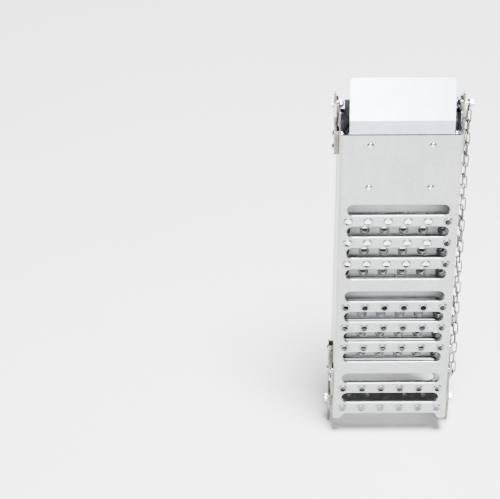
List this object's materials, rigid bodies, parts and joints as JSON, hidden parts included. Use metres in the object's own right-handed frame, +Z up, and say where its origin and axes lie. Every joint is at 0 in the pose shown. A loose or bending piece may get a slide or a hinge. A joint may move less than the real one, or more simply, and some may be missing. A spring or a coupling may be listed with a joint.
{
  "type": "folding loading ramp",
  "caption": "Folding loading ramp of punched galvanised steel channel sections on side hinge plates, with a bolted lip, a rubber ground strip and a safety chain.",
  "frame": {"origin": "centre of the bounding box's bottom face, on the floor that the folded ramp stands on", "axes": "+X to the right of the front section's tread as seen from in front, +Y through the folded pack to its back, +Z up"},
  "size_m": [0.2712, 0.1484, 0.854],
  "materials": {
    "galvanised_sheet": "satin galvanised sheet, light grey, finely mottled",
    "lip_sheet": "smooth bright zinc sheet",
    "hinge_plate_steel": "zinc plated plate with a faint yellow tint",
    "bright_fastener": "bright zinc plated bolts and nuts",
    "black_rivet": "black coated steel rivets",
    "chain_steel": "zinc plated round wire",
    "rubber_strip": "matte black rubber"
  },
  "bodies": {
    "ground": {"ground_section": "galvanised_sheet", "ground_strip": "rubber_strip", "ground_strip_rivet_1": "black_rivet", "ground_strip_rivet_2": "black_rivet", "ground_strip_rivet_3": "black_rivet", "ground_strip_rivet_4": "black_rivet", "upper_hinge_inner_plate_bolt_left_1": "bright_fastener", "upper_hinge_inner_plate_bolt_left_2": "bright_fastener", "upper_hinge_inner_plate_bolt_right_1": "bright_fastener", "upper_hinge_inner_plate_bolt_right_2": "bright_fastener", "upper_hinge_inner_plate_left": "hinge_plate_steel", "upper_hinge_inner_plate_right": "hinge_plate_steel", "upper_hinge_pivot_bolt_left": "bright_fastener", "upper_hinge_pivot_bolt_right": "bright_fastener", "upper_hinge_pivot_nut_left": "bright_fastener", "upper_hinge_pivot_nut_right": "bright_fastener"},
    "middle": {"lower_hinge_outer_plate_bolt_left_1": "bright_fastener", "lower_hinge_outer_plate_bolt_left_2": "bright_fastener", "lower_hinge_outer_plate_bolt_right_1": "bright_fastener", "lower_hinge_outer_plate_bolt_right_2": "bright_fastener", "lower_hinge_outer_plate_left": "hinge_plate_steel", "lower_hinge_outer_plate_right": "hinge_plate_steel", "lower_hinge_packer_left": "hinge_plate_steel", "lower_hinge_packer_right": "hinge_plate_steel", "lower_hinge_pivot_bolt_left": "bright_fastener", "lower_hinge_pivot_bolt_right": "bright_fastener", "lower_hinge_pivot_nut_left": "bright_fastener", "lower_hinge_pivot_nut_right": "bright_fastener", "middle_section": "galvanised_sheet", "upper_hinge_outer_plate_bolt_left_1": "bright_fastener", "upper_hinge_outer_plate_bolt_left_2": "bright_fastener", "upper_hinge_outer_plate_bolt_right_1": "bright_fastener", "upper_hinge_outer_plate_bolt_right_2": "bright_fastener", "upper_hinge_outer_plate_left": "hinge_plate_steel", "upper_hinge_outer_plate_right": "hinge_plate_steel", "upper_hinge_packer_left": "hinge_plate_steel", "upper_hinge_packer_right": "hinge_plate_steel"},
    "front": {"front_section": "galvanised_sheet", "lip_bolt_1": "bright_fastener", "lip_bolt_2": "bright_fastener", "lip_bolt_3": "bright_fastener", "lip_bolt_4": "bright_fastener", "lip_plate": "lip_sheet", "lower_hinge_inner_plate_bolt_left_1": "bright_fastener", "lower_hinge_inner_plate_bolt_left_2": "bright_fastener", "lower_hinge_inner_plate_bolt_right_1": "bright_fastener", "lower_hinge_inner_plate_bolt_right_2": "bright_fastener", "lower_hinge_inner_plate_left": "hinge_plate_steel", "lower_hinge_inner_plate_right": "hinge_plate_steel"},
    "chain": {"chain_ring": "chain_steel", "safety_chain": "chain_steel"}
  },
  "joints": [
    {"name": "upper_fold", "type": "hinge", "parent": "ground", "child": "middle", "pos_m": [-0.005, 0.02525, 0.753], "axis": [-1, 0, 0], "range_deg": [0, 180]},
    {"name": "lower_fold", "type": "hinge", "parent": "middle", "child": "front", "pos_m": [-0.005, -0.02425, 0.063], "axis": [1, 0, 0], "range_deg": [0, 180]},
    {"name": "chain_swing", "type": "hinge", "parent": "ground", "child": "chain", "pos_m": [0.1263, 0.02525, 0.753], "axis": [1, 0, 0], "range_deg": [0, 45]}
  ]
}
